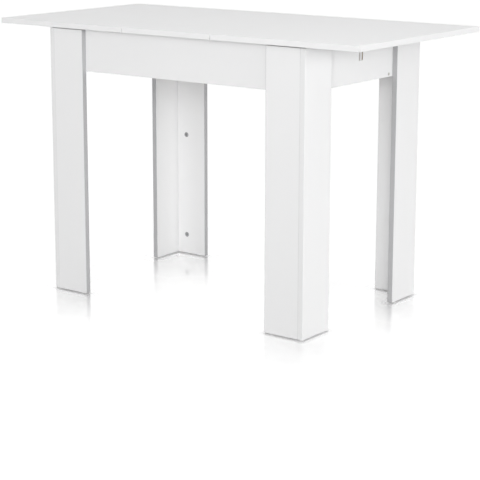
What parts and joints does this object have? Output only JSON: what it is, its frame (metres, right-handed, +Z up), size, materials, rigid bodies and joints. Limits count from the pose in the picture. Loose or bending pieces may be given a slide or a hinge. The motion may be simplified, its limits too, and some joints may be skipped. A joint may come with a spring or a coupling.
{
  "type": "extending table",
  "caption": "White board table with L-shaped legs and a split top; its halves slide apart to take a loose leaf in the middle.",
  "frame": {"origin": "on the floor, under the middle of the top", "axes": "+X along the table to its right end, -Y to the front, +Z up"},
  "size_m": [1.2, 0.6, 0.77],
  "materials": {
    "top_board": "white melamine, faintly textured satin",
    "leg_board": "white melamine, faintly textured satin",
    "apron_board": "white melamine, faintly textured satin",
    "edge_band": "grey edge band",
    "beech": "planed beech, unfinished",
    "zinc": "bare zinc die casting",
    "screw_steel": "zinc-plated steel",
    "glide_plastic": "pale grey plastic",
    "glide_pad": "white slippery plastic strip"
  },
  "bodies": {
    "frame": {"apron_back": "apron_board", "apron_cam_bolts": "screw_steel", "apron_cams": "zinc", "apron_dowels": "beech", "apron_front": "apron_board", "apron_left": "apron_board", "apron_right": "apron_board", "batten_back": "apron_board", "batten_front": "apron_board", "batten_screws": "screw_steel", "beam_dowel": "beech", "beam_pads": "glide_pad", "centre_beam": "apron_board", "guide_back": "beech", "guide_front": "beech", "guide_screws": "screw_steel", "leg_back_left_face": "leg_board", "leg_back_left_side": "leg_board", "leg_back_right_face": "leg_board", "leg_back_right_side": "leg_board", "leg_cam_bolts": "screw_steel", "leg_cams": "zinc", "leg_dowels": "beech", "leg_edge_bands": "edge_band", "leg_front_left_face": "leg_board", "leg_front_left_side": "leg_board", "leg_front_right_face": "leg_board", "leg_front_right_side": "leg_board", "leg_glides": "glide_plastic", "leg_screws": "screw_steel"},
    "left_half": {"top_left": "top_board", "runner_front_left": "beech", "runner_back_left": "beech", "runner_screws_left": "screw_steel"},
    "right_half": {"top_right": "top_board", "runner_front_right": "beech", "runner_back_right": "beech", "runner_screws_right": "screw_steel"},
    "leaf": {"top_leaf": "top_board"}
  },
  "joints": [
    {"name": "left_close", "type": "slide", "parent": "frame", "child": "left_half", "axis": [1, 0, 0], "range_m": [0, 0.15]},
    {"name": "right_close", "type": "slide", "parent": "frame", "child": "right_half", "axis": [-1, 0, 0], "range_m": [0, 0.15]},
    {"name": "leaf_lift", "type": "slide", "parent": "frame", "child": "leaf", "axis": [0, 0, 1], "range_m": [0, 0.6]}
  ],
  "couplings": [
    {"joint": "right_close", "follows": "left_close", "ratio": 1},
    {"joint": "leaf_lift", "follows": "left_close", "ratio": 4}
  ]
}
